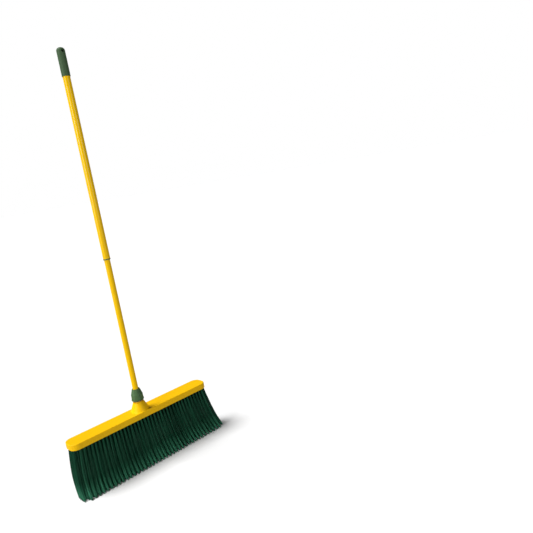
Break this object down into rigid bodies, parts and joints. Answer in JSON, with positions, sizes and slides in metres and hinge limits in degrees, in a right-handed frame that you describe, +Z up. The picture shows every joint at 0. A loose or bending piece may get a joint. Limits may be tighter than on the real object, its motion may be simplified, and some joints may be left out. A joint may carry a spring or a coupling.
{
  "type": "push broom",
  "caption": "Wide push broom: rounded head with a conical socket and forward-curled tufts, clamp nut, two-part twist-lock handle, grip with a hanging hole, and a blank hang tag.",
  "frame": {"origin": "on the floor at the middle of the head's footprint, below the tuft tips", "axes": "+Z up along the handle, +X along the head, tufts curl towards -Y"},
  "size_m": [0.633, 0.1369, 1.555],
  "materials": {
    "block_yellow": "satin moulded plastic",
    "bristle_green": "thick extruded filament",
    "anchor_wire": "flat drawn wire",
    "fitting_green": "fine textured moulding",
    "collet_natural": "natural plastic",
    "tube_yellow": "glossy coating on steel",
    "plug_black": "black moulding",
    "tag_grey": "coated card",
    "eyelet_metal": "polished",
    "cord_black": "braided elastic"
  },
  "bodies": {
    "head": {"head_block": "block_yellow", "bristle_row_1": "bristle_green", "bristle_row_2": "bristle_green", "bristle_row_3": "bristle_green", "bristle_row_4": "bristle_green", "bristle_row_5": "bristle_green", "bristle_row_6": "bristle_green", "tuft_anchors": "anchor_wire", "tag_card": "tag_grey", "tag_eyelet": "eyelet_metal", "tag_cord": "cord_black", "tag_knot": "cord_black"},
    "clamp_ring": {"clamp_collet": "collet_natural"},
    "nut": {"clamp_nut": "fitting_green"},
    "lower_handle": {"lower_tube": "tube_yellow", "lower_tube_plug": "plug_black", "lock_stud": "plug_black"},
    "twist_sleeve": {"lock_sleeve": "collet_natural"},
    "twist_cone": {"lock_cone": "collet_natural"},
    "upper_handle": {"upper_tube": "tube_yellow", "guide_bush": "fitting_green", "grip": "fitting_green"}
  },
  "joints": [
    {"name": "nut_travel", "type": "slide", "parent": "head", "child": "clamp_ring", "axis": [0, 0, 1], "range_m": [0, 0.0081]},
    {"name": "nut_turn", "type": "hinge", "parent": "clamp_ring", "child": "nut", "pos_m": [0, 0.02659, 0.26], "axis": [0, 0, 1], "range_deg": [0, 720]},
    {"name": "handle_pull", "type": "slide", "parent": "head", "child": "lower_handle", "axis": [0, 0, 1], "range_m": [0, 0.065]},
    {"name": "twist_lock", "type": "hinge", "parent": "lower_handle", "child": "twist_sleeve", "pos_m": [0, 0.02659, 0.92], "axis": [0, 0, 1], "range_deg": [0, 360]},
    {"name": "cone_travel", "type": "slide", "parent": "twist_sleeve", "child": "twist_cone", "axis": [0, 0, 1], "range_m": [0, 0.0026]},
    {"name": "telescope", "type": "slide", "parent": "twist_sleeve", "child": "upper_handle", "axis": [0, 0, 1], "range_m": [-0.49, 0.04]}
  ],
  "couplings": [
    {"joint": "nut_travel", "follows": "nut_turn", "m_per_rad": 0.00063662},
    {"joint": "cone_travel", "follows": "twist_lock", "m_per_rad": 0.00039789}
  ]
}
